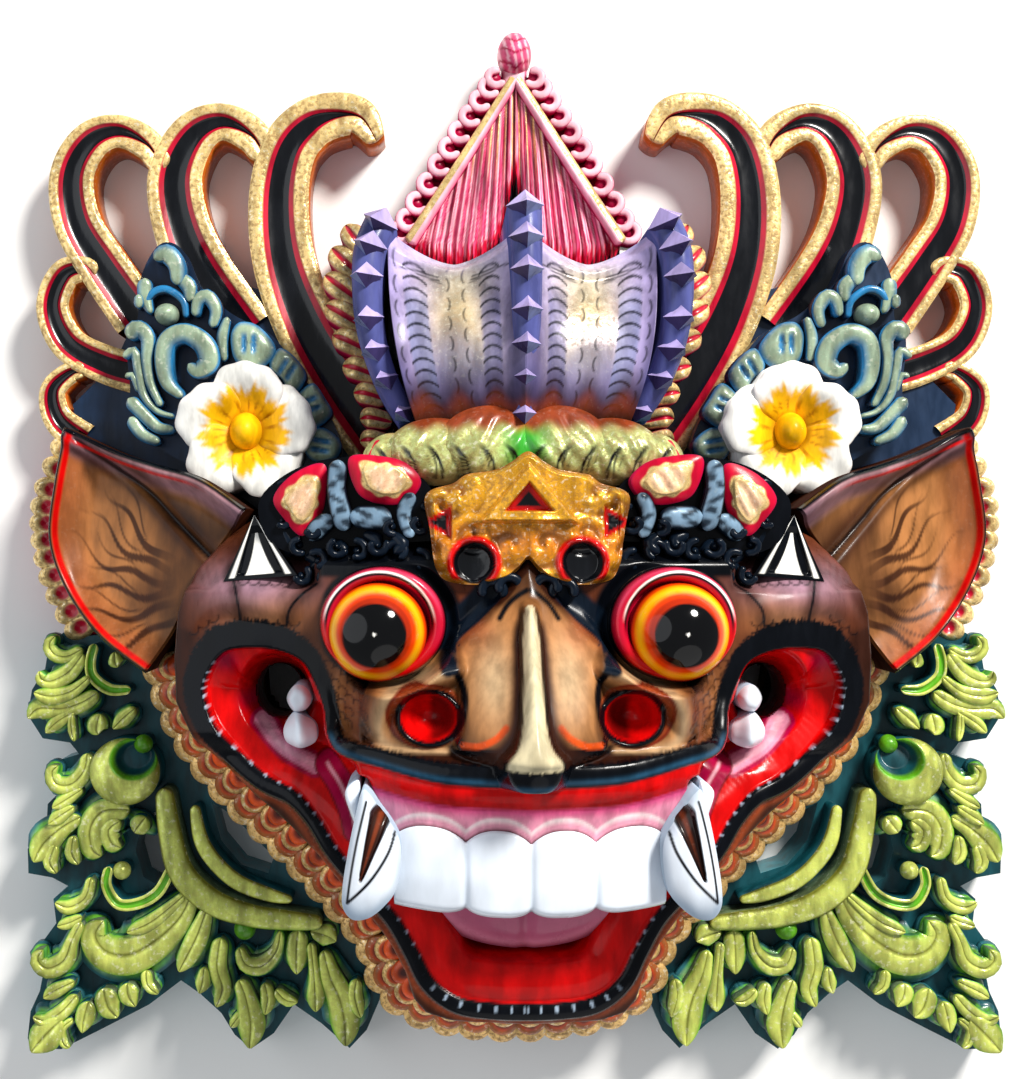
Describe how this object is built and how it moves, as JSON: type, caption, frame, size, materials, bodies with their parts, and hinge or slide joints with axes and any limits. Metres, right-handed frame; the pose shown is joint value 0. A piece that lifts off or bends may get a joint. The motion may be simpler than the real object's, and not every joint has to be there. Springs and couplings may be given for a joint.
{
  "type": "barong mask",
  "caption": "Carved and painted wooden wall mask of a toothed lion-like face under a shell crown and pierced scroll halo, hollow behind.",
  "frame": {"origin": "centre of the bounding box at the flat back that the mask lies on", "axes": "+Z out of the face, +Y towards the crown and the fin's point, +X to the right of someone who looks at the face"},
  "size_m": [0.274, 0.2854, 0.104],
  "materials": {
    "painted_wood": "gloss paint and gilding on carved wood"
  },
  "bodies": {
    "root": {"carved_mask": "painted_wood"}
  },
  "joints": []
}
